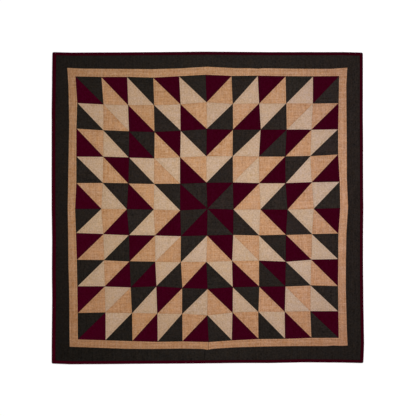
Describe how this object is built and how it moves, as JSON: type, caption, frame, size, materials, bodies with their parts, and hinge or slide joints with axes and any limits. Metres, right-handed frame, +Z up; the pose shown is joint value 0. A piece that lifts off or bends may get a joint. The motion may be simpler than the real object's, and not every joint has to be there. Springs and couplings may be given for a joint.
{
  "type": "star quilt",
  "caption": "Square patchwork star quilt lying flat, its centre pieced from triangles, inside an inner and an outer border and a mitred binding.",
  "frame": {"origin": "on the surface that the quilt lies on, under the middle of its outline", "axes": "+Z up out of the pieced side, +Y towards the pattern's top edge, +X towards its right edge"},
  "size_m": [1.2746, 1.2756, 0.0053],
  "materials": {
    "patchwork": "plain woven cottons in four colours, pieced and quilted, matte",
    "charcoal_cotton": "plain woven charcoal cotton, matte",
    "burgundy_cotton": "plain woven burgundy cotton, matte",
    "peach_cotton": "slubby peach chambray cotton, matte",
    "tan_cotton": "slubby tan chambray cotton, matte",
    "thread": "dark brown matte quilting thread"
  },
  "bodies": {
    "root": {"pieced_centre": "patchwork", "inner_border_top": "peach_cotton", "inner_border_right": "peach_cotton", "inner_border_bottom": "peach_cotton", "inner_border_left": "peach_cotton", "outer_border_top": "charcoal_cotton", "outer_border_right": "charcoal_cotton", "outer_border_bottom": "charcoal_cotton", "outer_border_left": "charcoal_cotton", "binding_top": "burgundy_cotton", "binding_right": "burgundy_cotton", "binding_bottom": "burgundy_cotton", "binding_left": "burgundy_cotton"}
  },
  "joints": []
}
